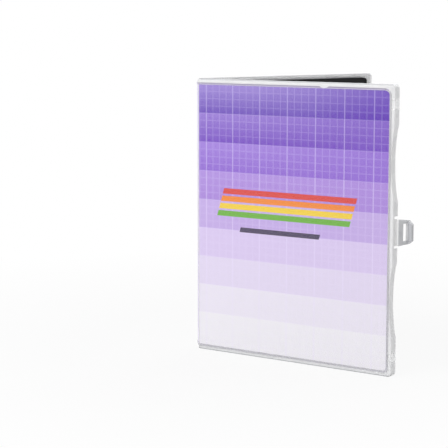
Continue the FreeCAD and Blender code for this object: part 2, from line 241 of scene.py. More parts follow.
class Graph:
    """Builds the node tree of one material."""

    FIRST_COLOUR = 6
    SECOND_COLOUR = 7
    MIXED_COLOUR = 2
    MIRROR_BLEND = 0.5
    MIRROR_POWER = 5.0

    def __init__(self, name: str) -> None:
        """Starts an empty material.

        Args:
            name: Name of the material.
        """
        self.material = bpy.data.materials.new(name)
        self.material.use_nodes = True
        self.tree = self.material.node_tree
        self.tree.nodes.clear()
        self.places: dict[PanelFrame, tuple[Socket, ...]] = {}

    def node(self, kind: str, inputs: Inputs | None = None, **settings: object) -> bpy.types.Node:
        """Adds one node.

        Args:
            kind: Blender's name of the node type.
            inputs: Constants or sockets for the node's inputs, by name or index.
            **settings: Properties of the node.

        Returns:
            The new node.
        """
        new = self.tree.nodes.new(kind)
        for key, value in settings.items():
            setattr(new, key, value)
        for key, value in (inputs or {}).items():
            if isinstance(value, Socket):
                self.tree.links.new(value, new.inputs[key])
            else:
                new.inputs[key].default_value = value
        return new

    def math(self, operation: str, *values: Value, clamp: bool = False) -> Socket:
        """Result of a Math node, held from 0 to 1 where clamp says so."""
        inputs = dict(enumerate(values))
        return self.node("ShaderNodeMath", inputs, operation=operation, use_clamp=clamp).outputs[0]

    def between(self, value: Value, low: float, high: float) -> Socket:
        """Mask of a range: 1 where the value lies from low to high, 0 elsewhere."""
        return self.math("COMPARE", value, (low + high) / 2, (high - low) / 2)

    def fade(self, value: Value, start: float, end: float, low: float = 0.0, high: float = 1.0) -> Socket:
        """Maps a value from start and end to low and high, held at both ends."""
        inputs = {"Value": value, "From Min": start, "From Max": end, "To Min": low, "To Max": high}
        return self.node("ShaderNodeMapRange", inputs).outputs[0]

    def spread(self, noise: Value, ends: tuple[float, float]) -> Socket:
        """Spreads a noise between two values."""
        return self.fade(noise, *NOISE_RANGE, *ends)

    def mix(self, share: Value, first: Value, second: Value) -> Socket:
        """Mixes two colours, by the share of the second."""
        inputs = {"Factor": share, self.FIRST_COLOUR: first, self.SECOND_COLOUR: second}
        return self.node("ShaderNodeMix", inputs, data_type="RGBA").outputs[self.MIXED_COLOUR]

    def ramp(self, place: Value, stops: Sequence[tuple[float, Ink]], steps: bool = False) -> Socket:
        """Adds a ramp of inks.

        Args:
            place: Place along the ramp.
            stops: Places and inks.
            steps: Whether the inks change at once.

        Returns:
            The colour.
        """
        new = self.node("ShaderNodeValToRGB", {0: place})
        new.color_ramp.interpolation = "CONSTANT" if steps else "LINEAR"
        elements = new.color_ramp.elements
        while len(elements) < len(stops):
            elements.new(1.0)
        for element, (position, ink) in zip(elements, stops):
            element.position = position
            element.color = ink.rgba
        return new.outputs[0]

    def place(self) -> Socket:
        """Place of a point on the piece, in the part's frame."""
        return self.node("ShaderNodeTexCoord").outputs["Object"]

    def on_panel(self, panel: PanelFrame) -> tuple[Socket, ...]:
        """Place of a point in a panel's own frame.

        Args:
            panel: The panel.

        Returns:
            Sockets of x from the hinge, y inwards and z up, in metres.
        """
        if panel not in self.places:
            location, rotation, scale = panel.mapping()
            inputs = {"Vector": self.place(), "Location": location, "Rotation": rotation, "Scale": scale}
            mapped = self.node("ShaderNodeMapping", inputs).outputs[0]
            self.places[panel] = tuple(self.node("ShaderNodeSeparateXYZ", {0: mapped}).outputs)
        return self.places[panel]

    def noise(self, grain: Grain) -> Socket:
        """Noise of a given grain, about 0.5."""
        inputs = {"Vector": self.place(), "Scale": 1.0 / grain.size, "Detail": grain.detail}
        return self.node("ShaderNodeTexNoise", inputs).outputs[0]

    def bump(self, height: Value, grain: Grain) -> Socket:
        """Normal bent by a height from 0 to 1, as strongly and deeply as a grain says."""
        inputs = {"Height": height, "Strength": grain.strength, "Distance": grain.depth}
        return self.node("ShaderNodeBump", inputs).outputs[0]

    def mirror_share(self, face_on: float, slant: float) -> Socket:
        """Share of light that a clear film mirrors, rising steeply at a slant.

        Args:
            face_on: Share seen face on.
            slant: Share added at a full slant.

        Returns:
            The share, from 0 to 1.
        """
        facing = self.node("ShaderNodeLayerWeight", {"Blend": self.MIRROR_BLEND}).outputs["Facing"]
        steep = self.math("POWER", facing, self.MIRROR_POWER)
        return self.math("MULTIPLY_ADD", steep, slant, face_on, clamp=True)

    def principled(self, inputs: Inputs) -> Material:
        """Ends the tree in one surface shader.

        Args:
            inputs: Constants or sockets of the shader.

        Returns:
            The finished material.
        """
        shader = self.node("ShaderNodeBsdfPrincipled", inputs)
        self.node("ShaderNodeOutputMaterial", {"Surface": shader.outputs[0]})
        return self.material


@dataclass(frozen=True)
class ClearPlastic:
    """Moulded polypropylene, hazy like thin milk ice."""

    name: str = "clear_plastic"
    tint: str = "FEFEFF"
    shade: str = "F9F9FB"
    shade_range: tuple[float, float] = (0.35, 0.65)
    haze: float = 0.82
    slant_haze: float = 0.2
    slant_blend: float = 0.4
    flow_haze: float = 0.06
    roughness: tuple[float, float] = (0.15, 0.27)
    specular: float = 0.3
    glow: float = 0.6
    glow_reach: float = 4.0 * MM
    flow: Grain = Grain(14 * MM, 3.0)
    texture: Grain = Grain(0.5 * MM, strength=0.25, depth=0.03 * MM)

    def skin(self, g: Graph, flow: Socket) -> tuple[Socket, Socket]:
        """Colour and roughness, a little uneven where the plastic flowed into its mould."""
        colour = g.mix(g.fade(flow, *self.shade_range), linear(self.shade), linear(self.tint))
        return colour, g.spread(flow, self.roughness)

    def opacity(self, g: Graph, flow: Socket) -> Socket:
        """How hazy the plastic is, more so at a slant.

        Args:
            g: Tree of the material.
            flow: Noise of the flow.

        Returns:
            The opacity, from 0 to 1.
        """
        slant = g.node("ShaderNodeLayerWeight", {"Blend": self.slant_blend}).outputs["Facing"]
        haze = g.math("MULTIPLY_ADD", slant, self.slant_haze, self.haze)
        uneven = g.math("SUBTRACT", flow, sum(NOISE_RANGE) / 2)
        return g.math("MULTIPLY_ADD", uneven, self.flow_haze, haze, clamp=True)

    def make(self) -> Material:
        """Builds the material of a moulded piece.

        Returns:
            The material.
        """
        g = Graph(self.name)
        flow = g.noise(self.flow)
        colour, rough = self.skin(g, flow)
        return g.principled({
            "Base Color": colour,
            "Roughness": rough,
            "IOR": POLYPROPYLENE_IOR,
            "Specular IOR Level": self.specular,
            "Subsurface Weight": self.glow,
            "Subsurface Radius": (1.0, 1.0, 1.0),
            "Subsurface Scale": self.glow_reach,
            "Alpha": self.opacity(g, flow),
            "Normal": g.bump(g.noise(self.texture), self.texture),
        })


@dataclass(frozen=True, kw_only=True)
class CoverPlastic(ClearPlastic):
    """The plastic of a cover: greyed along its edges by painted shade, clearer at its corner blocks."""

    panel: PanelFrame
    sizes: CaseSizes
    clearing: float = 0.45
    # Grey of the painted shade along the edges.
    edge_tint: str = "C5C6C9"
    edge_roughness: float = 0.4
    top_edge: float = 0.7 * MM
    top_blend: float = 0.2 * MM
    foot_edge: float = 3.0 * MM
    foot_blend: float = 0.8 * MM
    foot_shade_share: float = 0.35
    foot_line: float = 0.8 * MM
    line_blend: float = 0.4 * MM
    fore_shade_share: float = 0.18
    fore_blend: float = 0.2 * MM

    def edge_mask(self, g: Graph) -> Socket:
        """Mask of the edges that are greyed by painted shade.

        Args:
            g: Tree of the material.

        Returns:
            1 at the top and along the line at the foot, less at the other edges, 0 elsewhere.
        """
        x, _, z = g.on_panel(self.panel)
        head, fore = self.sizes.height - self.top_edge, self.sizes.print_fore
        # Painted shade is strongest at the top edge and along the line at the foot, weaker towards the
        # foot and at the fore edge.
        top = g.fade(z, head - self.top_blend / 2, head + self.top_blend / 2)
        foot = g.fade(z, self.foot_edge - self.foot_blend, self.foot_edge, self.foot_shade_share, 0.0)
        line = g.fade(z, self.foot_line, self.foot_line + self.line_blend, 1.0, 0.0)
        side = g.fade(x, fore, fore + self.fore_blend, 0.0, self.fore_shade_share)
        low = g.math("MAXIMUM", foot, line)
        return g.math("MAXIMUM", g.math("MAXIMUM", low, side), top)

    def skin(self, g: Graph, flow: Socket) -> tuple[Socket, Socket]:
        """Colour and roughness of the cover: painted shade greys its edges, which are also rougher.

        Args:
            g: Tree of the material.
            flow: Noise of the flow.

        Returns:
            The colour and the roughness.
        """
        colour, rough = super().skin(g, flow)
        edges = self.edge_mask(g)
        rough = g.math("MULTIPLY_ADD", edges, self.edge_roughness, rough)
        # Painted shade: the edges are mixed towards a grey.
        return g.mix(edges, colour, linear(self.edge_tint)), rough

    def opacity(self, g: Graph, flow: Socket) -> Socket:
        """How hazy the cover is, less so at its corner blocks.

        Args:
            g: Tree of the material.
            flow: Noise of the flow.

        Returns:
            The opacity, from 0 to 1.
        """
        s = self.sizes
        x, _, z = g.on_panel(self.panel)
        off = g.math("ABSOLUTE", g.math("SUBTRACT", z, s.height / 2))
        end = s.height / 2 - s.block_inset
        level = g.between(off, end - s.block_height, end)
        block = g.math("MULTIPLY", level, g.math("GREATER_THAN", x, s.reach - s.block_depth))
        return g.math("MULTIPLY_ADD", block, -self.clearing, super().opacity(g, flow), clamp=True)


@dataclass(frozen=True, kw_only=True)
class LatchPlastic(ClearPlastic):
    """The plastic of the latch tab: painted shade darkens it, more so at its lip, and painted light
    whitens its web and its window's far wall.
    """

    arm: PanelFrame
    name: str = "latch_plastic"
    # A darker copy of the clear plastic's colours: painted shade.
    tint: str = "DADBDD"
    shade: str = "D0D1D4"
    haze: float = 0.86
    # White of the painted light on the web and the window's far wall; grey of the painted shade on the
    # lip.
    thin_tint: str = "FFFFFF"
    painted_lip_shade: str = "C4C5C8"
    web_length: float = 2.0 * MM
    window_end: float = 10.8 * MM
    wall_skin: float = 0.05 * MM
    wall_margin: float = 0.1 * MM
    arm_out: float = 2.8 * MM

    def skin(self, g: Graph, flow: Socket) -> tuple[Socket, Socket]:
        """Colour and roughness of the tab, with painted shade and painted light.

        Args:
            g: Tree of the material.
            flow: Noise of the flow.

        Returns:
            The colour and the roughness.
        """
        colour, rough = super().skin(g, flow)
        along, across, _ = g.on_panel(self.arm)
        lip = g.math("LESS_THAN", across, -self.arm_out)
        within = g.math("GREATER_THAN", across, -self.arm_out + self.wall_margin)
        end = g.between(along, self.window_end - self.wall_skin, self.window_end + self.wall_skin)
        web = g.math("LESS_THAN", along, self.web_length)
        thin = g.math("MAXIMUM", g.math("MULTIPLY", within, end), web)
        # Painted shade darkens the lip; painted light whitens the thin web and the window's far wall.
        colour = g.mix(lip, colour, linear(self.painted_lip_shade))
        return g.mix(thin, colour, linear(self.thin_tint)), rough


@dataclass(frozen=True, kw_only=True)
class CoverFilm:
    """Thin glossy film over the print: it mirrors a little, frosted at its welds and its mouth, with
    painted shade along its top edge.
    """

    name: str
    panel: PanelFrame
    sizes: CaseSizes
    fore_weld: bool
    tint: str = "F4F3F8"
    mirror: float = 0.025
    slant_mirror: float = 0.7
    clear_roughness: float = 0.1
    frost_roughness: float = 0.35
    weld_haze: float = 0.45
    weld_tint: str = "E2E1E7"
    weld_blend: float = 0.3 * MM
    mouth_haze: float = 0.55
    mouth_tint: str = "CFC6E2"
    mouth_blend: float = 0.2 * MM
    # Dark grey of the painted shade along the film's top edge.
    painted_lip_shade: str = "A39CB2"
    lip_width: float = 0.7 * MM
    lip_blend: float = 0.2 * MM
    waves: Grain = Grain(38 * MM, 1.0, 0.4, 0.4 * MM)

    def weld_mask(self, g: Graph) -> Socket:
        """Mask of the welds along the foot and the fore edge.

        Args:
            g: Tree of the material.

        Returns:
            1 on a weld, 0 elsewhere.
        """
        x, _, z = g.on_panel(self.panel)
        foot, fore = self.sizes.print_border, self.sizes.print_fore
        weld = g.fade(z, foot - self.weld_blend, foot, 1.0, 0.0)
        if self.fore_weld:
            weld = g.math("MAXIMUM", weld, g.fade(x, fore, fore + self.weld_blend))
        return weld

    def make(self) -> Material:
        """Builds the material of one film.

        Returns:
            The material.
        """
        g = Graph(self.name)
        _, _, z = g.on_panel(self.panel)
        top = self.sizes.print_top
        lip_start = top + self.sizes.weld_band - self.lip_width
        weld = self.weld_mask(g)
        mouth = g.fade(z, top, top + self.mouth_blend)
        # Painted shade: a dark band along the film's cut top edge.
        lip = g.fade(z, lip_start - self.lip_blend / 2, lip_start + self.lip_blend / 2)
        frosted = g.math("MAXIMUM", weld, mouth)
        alpha = g.mirror_share(self.mirror, self.slant_mirror)
        alpha = g.math("MULTIPLY_ADD", weld, self.weld_haze, alpha)
        alpha = g.math("MULTIPLY_ADD", mouth, self.mouth_haze, alpha, clamp=True)
        colour = g.mix(weld, linear(self.tint), linear(self.weld_tint))
        colour = g.mix(mouth, colour, linear(self.mouth_tint))
        return g.principled({
            "Base Color": g.mix(lip, colour, linear(self.painted_lip_shade)),
            "Metallic": g.fade(frosted, 0.0, 1.0, 1.0, 0.0),
            "Roughness": g.fade(frosted, 0.0, 1.0, self.clear_roughness, self.frost_roughness),
            "Alpha": alpha,
            "Normal": g.bump(g.noise(self.waves), self.waves),
        })


@dataclass(frozen=True, kw_only=True)
class PrintedPaper(ABC):
    """Coated paper with print on its outer side, white on its other side."""

    name: str
    panel: PanelFrame
    sizes: CaseSizes
    fibre: Grain = Grain(0.4 * MM, 3.0, 0.1, 0.02 * MM)
    fibre_range: tuple[float, float] = (0.35, 0.75)
    fibre_share: float = 0.03
    roughness: tuple[float, float] = (0.42, 0.52)
    specular: float = 0.2

    @abstractmethod
    def design(self, g: Graph) -> Socket:
        """Colour of the print."""

    def stripe_inks(self, g: Graph, place: Socket) -> Socket:
        """Inks of the stripes, one beside the other, by the place across them from 0 to 1."""
        inks = Ink.stripes()
        return g.ramp(place, [(i / len(inks), ink) for i, ink in enumerate(inks)], steps=True)

    def make(self) -> Material:
        """Builds the material of one sheet.

        Returns:
            The material.
        """
        g = Graph(self.name)
        _, y, _ = g.on_panel(self.panel)
        fibre = g.noise(self.fibre)
        bare = g.fade(fibre, *self.fibre_range, 0.0, self.fibre_share)
        colour = g.mix(bare, self.design(g), Ink.PAPER.rgba)
        outside = g.math("LESS_THAN", y, -self.sizes.print_thick / 2)
        return g.principled({
            "Base Color": g.mix(outside, Ink.PAPER.rgba, colour),
            "Roughness": g.spread(fibre, self.roughness),
            "Specular IOR Level": self.specular,
            "Normal": g.bump(fibre, self.fibre),
        })


@dataclass(frozen=True, kw_only=True)
class BandPrint(PrintedPaper):
    """Print of a cover: stepped bands with a fine grid, four stripes above a rule, and painted sheen
    towards the hinge.

    Attributes:
        band_stops: How far down the print each ink comes, from 0 to 1.
        lift_share: How much the top of a band is lifted, near the hinge and at the fore edge: the lift
            within a band is print, its rise towards the hinge is painted sheen.
        grid_share: How strong the grid is on the top band, and from grid_full down.
    """

    bands: int = 9
    band_height: float = 24.0 * MM
    first_drop: float = 23.43 * MM
    band_stops: tuple[tuple[float, Ink], ...] = (
        (0.0, Ink.PURPLE),
        (0.125, Ink.IRIS),
        (0.25, Ink.VIOLET),
        (0.4, Ink.LILAC),
        (0.62, Ink.PALE),
        (0.95, Ink.WHITE),
    )
    lift_range: tuple[float, float] = (0.3, 1.0)
    lift_share: tuple[float, float] = (0.34, 0.12)
    glow_range: tuple[float, float] = (0.55, 0.9)
    glow_share: float = 0.06
    column: float = 6.58 * MM
    first_column: float = 8.2 * MM
    rows_per_band: int = 4
    columns_per_main: int = 4
    thin_line: float = 0.8 * MM
    main_line: float = 1.0 * MM
    line_edge: tuple[float, float] = (0.3, 0.7)
    column_share: float = 0.5
    row_share: float = 0.4
    grid_share: tuple[float, float] = (0.28, 0.38)
    grid_full: float = 0.4
    stripe_start: float = 26 * MM
    stripe_end: float = 152 * MM
    stripe_top: float = 139 * MM
    stripe_pitch: float = 6.2 * MM
    stripe_fill: float = 0.74
    stripe_slant: float = 0.3
    rule_start: float = 52 * MM
    rule_end: float = 128 * MM
    rule_foot: float = 103.5 * MM
    rule_top: float = 107.5 * MM

    @property
    def first_level(self) -> float:
        """Height of the foot of the top band."""
        return self.sizes.print_top - self.first_drop

    def band_colour(self, g: Graph) -> tuple[Socket, Socket]:
        """Colour of the stepped bands, with painted sheen towards the hinge.

        Args:
            g: Tree of the material.

        Returns:
            The colour, and how far down the print its band is, from 0 to 1.
        """
        x, _, z = g.on_panel(self.panel)
        last = self.bands - 1.0
        drop = g.math("SUBTRACT", self.first_level + self.band_height, z)
        drop = g.math("DIVIDE", drop, self.band_height)
        step = g.math("FLOOR", g.math("MINIMUM", g.math("MAXIMUM", drop, 0.0), last))
        share = g.math("DIVIDE", step, last)
        across = g.math("DIVIDE", x, self.sizes.reach)
        rest = g.math("SUBTRACT", 1.0, share)
        # The lift lightens the top of each band as print; its rise towards the hinge is painted sheen.
        lift = g.math("MULTIPLY", g.math("SUBTRACT", 1.0, g.math("FRACT", drop)), rest)
        lift = g.math("MULTIPLY", lift, g.fade(across, *self.lift_range, *self.lift_share))
        colour = g.ramp(share, self.band_stops)
        colour = g.mix(g.math("MULTIPLY", lift, rest), colour, Ink.LIFT.rgba)
        # Painted sheen: the top band is washed paler towards the hinge, where the film mirrors the light.
        glow = g.fade(across, *self.glow_range, self.glow_share, 0.0)
        glow = g.math("MULTIPLY", glow, g.fade(share, 0.0, 1.0 / last, 1.0, 0.0))
        return g.mix(glow, colour, Ink.GLOW.rgba), share

    def lines(self, g: Graph, along: Socket, start: float, pitch: float, width: float) -> Socket:
        """Mask of evenly spaced lines.

        Args:
            g: Tree of the material.
            along: Distance across the lines.
            start: Place of one line.
            pitch: Distance from line to line.
            width: Width of a line.

        Returns:
            1 on a line, 0 elsewhere.
        """
        off = g.math("PINGPONG", g.math("SUBTRACT", along, start), pitch / 2)
        inner, outer = self.line_edge
        return g.fade(off, width * inner, width * outer, 1.0, 0.0)

    def grid(self, g: Graph) -> Socket:
        """Strength of the fine grid and its main lines.

        Args:
            g: Tree of the material.

        Returns:
            The strength, 1 on a main line.
        """
        x, _, z = g.on_panel(self.panel)
        row, wide = self.band_height / self.rows_per_band, self.column * self.columns_per_main
        columns = self.lines(g, x, self.first_column, self.column, self.thin_line)
        rows = self.lines(g, z, self.first_level, row, self.thin_line)
        main_lines = self.lines(g, x, self.first_column, wide, self.main_line)
        columns = g.math("MULTIPLY", columns, self.column_share)
        rows = g.math("MULTIPLY", rows, self.row_share)
        return g.math("MAXIMUM", g.math("MAXIMUM", columns, rows), main_lines)

    def stripes(self, g: Graph, ground: Socket) -> Socket:
        """Four plain slanted stripes and a dark rule under them.

        Args:
            g: Tree of the material.
            ground: Colour under them.

        Returns:
            The colour with the stripes.
        """
        x, _, z = g.on_panel(self.panel)
        count = float(len(Ink.stripes()))
        below = g.math("SUBTRACT", self.stripe_top, z)
        drop = g.math("DIVIDE", below, self.stripe_pitch)
        lean = g.math("MULTIPLY_ADD", below, self.stripe_slant, x)
        inside = g.between(lean, self.stripe_start, self.stripe_end)
        filled = g.math("LESS_THAN", g.math("FRACT", drop), self.stripe_fill)
        mask = g.math("MULTIPLY", g.math("MULTIPLY", inside, g.between(drop, 0.0, count)), filled)
        colour = g.mix(mask, ground, self.stripe_inks(g, g.math("DIVIDE", drop, count)))
        rule = g.between(lean, self.rule_start, self.rule_end)
        rule = g.math("MULTIPLY", rule, g.between(z, self.rule_foot, self.rule_top))
        return g.mix(rule, colour, Ink.SLATE.rgba)

    def design(self, g: Graph) -> Socket:
        """Colour of the bands, the grid and the stripes.

        Args:
            g: Tree of the material.

        Returns:
            The colour.
        """
        colour, share = self.band_colour(g)
        strength = g.fade(share, 0.0, self.grid_full, *self.grid_share)
        strength = g.math("MULTIPLY", self.grid(g), strength)
        return self.stripes(g, g.mix(strength, colour, Ink.GRID.rgba))


@dataclass(frozen=True, kw_only=True)
class SpinePrint(PrintedPaper):
    """Print of the spine: plain lilac with one run of short stripes."""

    ground_stops: tuple[tuple[float, Ink], ...] = (
        (0.0, Ink.SPINE_FOOT),
        (0.5, Ink.SPINE),
        (1.0, Ink.SPINE_HEAD),
    )
    run_foot: float = 84 * MM
    run_top: float = 172 * MM
    run_width: float = 5.2 * MM
    lane_margin: float = 0.17

    def design(self, g: Graph) -> Socket:
        """Colour of the ground and the stripes.

        Args:
            g: Tree of the material.

        Returns:
            The colour.
        """
        x, _, z = g.on_panel(self.panel)
        height = g.fade(z, self.sizes.print_border, self.sizes.print_top)
        ground = g.ramp(height, self.ground_stops)
        start = (self.sizes.hinge_span - self.run_width) / 2
        end = start + self.run_width
        across = g.fade(x, start, end)
        lane = g.math("FRACT", g.math("MULTIPLY", across, float(len(Ink.stripes()))))
        filled = g.between(lane, self.lane_margin, 1.0 - self.lane_margin)
        mask = g.math("MULTIPLY", filled, g.between(z, self.run_foot, self.run_top))
        mask = g.math("MULTIPLY", mask, g.between(x, start, end))
        return g.mix(mask, ground, self.stripe_inks(g, across))


@dataclass(frozen=True)
class BlackSheet:
    """Black plastic sheet with a fine pebbled grain and faint scuffs."""

    name: str = "black_sheet"
    tint: str = "141416"
    scuff_tint: str = "1E1E21"
    scuff_range: tuple[float, float] = (0.45, 0.8)
    roughness: tuple[float, float] = (0.42, 0.58)
    specular: float = 0.16
    scuffs: Grain = Grain(22 * MM, 5.0)
    pebbles: Grain = Grain(0.7 * MM, strength=0.35, depth=0.06 * MM)

    def make(self) -> Material:
        """Builds the material of the pages.

        Returns:
            The material.
        """
        g = Graph(self.name)
        inputs = {"Vector": g.place(), "Scale": 1.0 / self.pebbles.size}
        cells = g.node("ShaderNodeTexVoronoi", inputs).outputs["Distance"]
        scuffs = g.noise(self.scuffs)
        worn = g.fade(scuffs, *self.scuff_range)
        return g.principled({
            "Base Color": g.mix(worn, linear(self.tint), linear(self.scuff_tint)),
            "Roughness": g.spread(scuffs, self.roughness),
            "Specular IOR Level": self.specular,
            "Normal": g.bump(cells, self.pebbles),
        })


@dataclass(frozen=True)
class PocketFilm:
    """Clear glossy pocket film, slightly baggy."""

    name: str = "pocket_film"
    tint: str = "E4E6EC"
    mirror: float = 0.06
    slant_mirror: float = 0.75
    roughness: tuple[float, float] = (0.08, 0.2)
    bags: Grain = Grain(17 * MM, strength=0.6, depth=0.9 * MM)

    def make(self) -> Material:
        """Builds the material of the pocket strips.

        Returns:
            The material.
        """
        g = Graph(self.name)
        bags = g.noise(self.bags)
        return g.principled({
            "Base Color": linear(self.tint),
            "Metallic": 1.0,
            "Roughness": g.spread(bags, self.roughness),
            "Alpha": g.mirror_share(self.mirror, self.slant_mirror),
            "Normal": g.bump(bags, self.bags),
        })


@dataclass(frozen=True)
class WeldMark:
    """Frosted plastic of a heat weld."""

    name: str
    tint: str
    opacity: tuple[float, float]
    frost_range: tuple[float, float] = (0.25, 0.75)
    roughness: tuple[float, float] = (0.28, 0.5)
    frost: Grain = Grain(0.9 * MM, 3.0)

    def make(self) -> Material:
        """Builds the material of a weld seam.

        Returns:
            The material.
        """
        g = Graph(self.name)
        frost = g.noise(self.frost)
        return g.principled({
            "Base Color": linear(self.tint),
            "Roughness": g.spread(frost, self.roughness),
            "Alpha": g.fade(frost, *self.frost_range, *self.opacity),
        })


@dataclass(frozen=True)
class RingPlastic:
    """Milky moulded polypropylene of the strap rings."""

    name: str = "ring_plastic"
    tint: str = "EEEFF1"
    shade: str = "DADCDF"
    roughness: tuple[float, float] = (0.32, 0.46)
    opacity: tuple[float, float] = (0.84, 0.94)
    flow: Grain = Grain(6 * MM, 3.0)
    texture: Grain = Grain(0.5 * MM, strength=0.2, depth=0.03 * MM)

    def make(self) -> Material:
        """Builds the material of the rings.

        Returns:
            The material.
        """
        g = Graph(self.name)
        flow = g.noise(self.flow)
        return g.principled({
            "Base Color": g.mix(flow, linear(self.shade), linear(self.tint)),
            "Roughness": g.spread(flow, self.roughness),
            "IOR": POLYPROPYLENE_IOR,
            "Alpha": g.spread(flow, self.opacity),
            "Normal": g.bump(g.noise(self.texture), self.texture),
        })


@dataclass(frozen=True)
class SeamSizes:
    """Sizes of a heat-welded seam, in metres."""

    bead_width: float
    bead_height: float
    mark_spacing: float
    mark_along: float
    mark_across: float
    mark_height: float


class SeamTree:
    """Geometry Nodes tree of a heat-welded seam: a low bead along a path, marks pressed across it."""

    def __init__(self) -> None:
        """Builds the tree, with a named input for each size and one for the material."""
        self.tree = bpy.data.node_groups.new("welded_seam", "GeometryNodeTree")
        self.keys: dict[str, str] = {}
        self.socket("Geometry", "NodeSocketGeometry")
        for size in fields(SeamSizes):
            label = size.name.replace("_", " ").title()
            self.keys[size.name] = self.socket(label, "NodeSocketFloat")
        self.keys["material"] = self.socket("Material", "NodeSocketMaterial")
        self.socket("Geometry", "NodeSocketGeometry", "OUTPUT")
        self.link_nodes()

    def socket(self, label: str, kind: str, side: str = "INPUT") -> str:
        """Adds an input or output to the tree and gives its identifier."""
        return self.tree.interface.new_socket(label, in_out=side, socket_type=kind).identifier

    def add(self, kind: str, inputs: dict[str | int, Socket], **settings: object) -> bpy.types.Node:
        """Adds one linked node.

        Args:
            kind: Blender's name of the node type.
            inputs: Sockets for its inputs, by name or index.
            **settings: Properties of the node.

        Returns:
            The new node.
        """
        node = self.tree.nodes.new(kind)
        for key, value in settings.items():
            setattr(node, key, value)
        for key, socket in inputs.items():
            self.tree.links.new(socket, node.inputs[key])
        return node

    def link_nodes(self) -> None:
        """Links the bead, the marks and the finish."""
        given = self.tree.nodes.new("NodeGroupInput").outputs
        path = self.add("GeometryNodeMeshToCurve", {"Mesh": given["Geometry"]})
        upright = self.add("GeometryNodeSetCurveNormal", {"Curve": path.outputs["Curve"]}, mode="Z_UP")
        section = self.add("GeometryNodeCurvePrimitiveQuadrilateral", {
            "Width": given["Bead Width"],
            "Height": given["Bead Height"],
        })
        bead = self.add("GeometryNodeCurveToMesh", {
            "Curve": upright.outputs["Curve"],
            "Profile Curve": section.outputs["Curve"],
        })
        bead.inputs["Fill Caps"].default_value = True
        places = self.add("GeometryNodeCurveToPoints", {
            "Curve": upright.outputs["Curve"],
            "Length": given["Mark Spacing"],
        }, mode="LENGTH")
        size = self.add("ShaderNodeCombineXYZ", {
            "X": given["Mark Across"],
            "Y": given["Mark Height"],
            "Z": given["Mark Along"],
        })
        mark = self.add("GeometryNodeMeshCube", {"Size": size.outputs[0]})
        marks = self.add("GeometryNodeInstanceOnPoints", {
            "Points": places.outputs["Points"],
            "Instance": mark.outputs["Mesh"],
            "Rotation": places.outputs["Rotation"],
        })
        both = self.add("GeometryNodeJoinGeometry", {0: bead.outputs["Mesh"]})
        self.tree.links.new(marks.outputs["Instances"], both.inputs[0])
        real = self.add("GeometryNodeRealizeInstances", {"Geometry": both.outputs[0]})
        dressed = self.add("GeometryNodeSetMaterial", {
            "Geometry": real.outputs[0],
            "Material": given["Material"],
        })
        self.add("NodeGroupOutput", {0: dressed.outputs[0]})

    def piece(
        self,
        name: str,
        paths: Sequence[Path],
        sizes: SeamSizes,
        material: Material,
        place: Matrix,
    ) -> bpy.types.Object:
        """Makes one seam as a plain mesh.

        Args:
            name: Name of the piece.
            paths: Runs of points, each along x and up.
            sizes: Sizes of the seam.
            material: Finish of the seam.
            place: Matrix from the flat drawing, x, up and outwards, to the part's frame.

        Returns:
            The finished piece, at the origin.
        """
        points, edges = [], []
        for path in paths:
            first = len(points)
            points += [(x, up, 0.0) for x, up in path]
            edges += [(first + i, first + i + 1) for i in range(len(path) - 1)]
        drawing = bpy.data.meshes.new(name + "_path")
        drawing.from_pydata(points, edges, [])
        piece = bpy.data.objects.new(name, drawing)
        bpy.context.scene.collection.objects.link(piece)
        modifier = piece.modifiers.new("seam", "NODES")
        modifier.node_group = self.tree
        for size in fields(sizes):
            modifier[self.keys[size.name]] = getattr(sizes, size.name)
        modifier[self.keys["material"]] = material
        graph = bpy.context.evaluated_depsgraph_get()
        graph.update()
        mesh = bpy.data.meshes.new_from_object(piece.evaluated_get(graph))
        piece.modifiers.remove(modifier)
        mesh.name = name
        mesh.transform(place)
        if place.to_3x3().determinant() < 0:
            mesh.flip_normals()
        piece.data = mesh
        bpy.data.meshes.remove(drawing)
        return piece


def set_finish(node: str, material: Material) -> None:
    """Gives a CAD node its material.

    Args:
        node: Name of the node.
        material: Its finish.
    """
    for held in frame["nodes"][node].material_slots:
        held.material = material
    LOG.info("finish %s on %s", material.name, node)


@dataclass
class CoverWelds:
    """Welds that hold the film to one panel: along its foot and, on a cover, its fore edge."""

    panel: Panel
    sizes: CaseSizes
    corner_steps: int = 8
    seam: SeamSizes = SeamSizes(
        bead_width=0.55 * MM,
        bead_height=0.16 * MM,
        mark_spacing=1.1 * MM,
        mark_along=0.4 * MM,
        mark_across=1.15 * MM,
        mark_height=0.12 * MM,
    )

    def path(self) -> Path:
        """Draws the run of the weld.

        Returns:
            Points along the foot and, on a cover, up the fore edge and round its head corner.
        """
        s = self.sizes
        inset = s.print_border - s.weld_band / 2
        start = s.film_margin + s.weld_band
        if self.panel is Panel.SPINE:
            return [(start, inset), (s.hinge_span - start, inset)]
        fore, foot, top = s.reach - inset, inset, s.height - inset
        points = [(start, foot)]
        low, high = s.foot_radius + s.weld_band / 2, s.head_radius + s.weld_band / 2
        for radius, corner, first in ((low, foot + low, -90), (high, top - high, 0)):
            for i in range(self.corner_steps + 1):
                angle = math.radians(first + 90 * i / self.corner_steps)
                x = fore - radius + radius * math.cos(angle)
                points.append((x, corner + radius * math.sin(angle)))
        return points

    def build(self, tree: SeamTree, place: PanelFrame, finish: Material) -> bpy.types.Object:
        """Makes the weld and lets it ride on its panel.

        Args:
            tree: Tree of the seams.
            place: Frame of the panel.
            finish: Material of the weld.

        Returns:
            The piece.
        """
        flat = place.flat(self.sizes.film_rise)
        piece = tree.piece(self.panel.value + "_weld", [self.path()], self.seam, finish, flat)
        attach(piece, self.panel.value)
        return piece


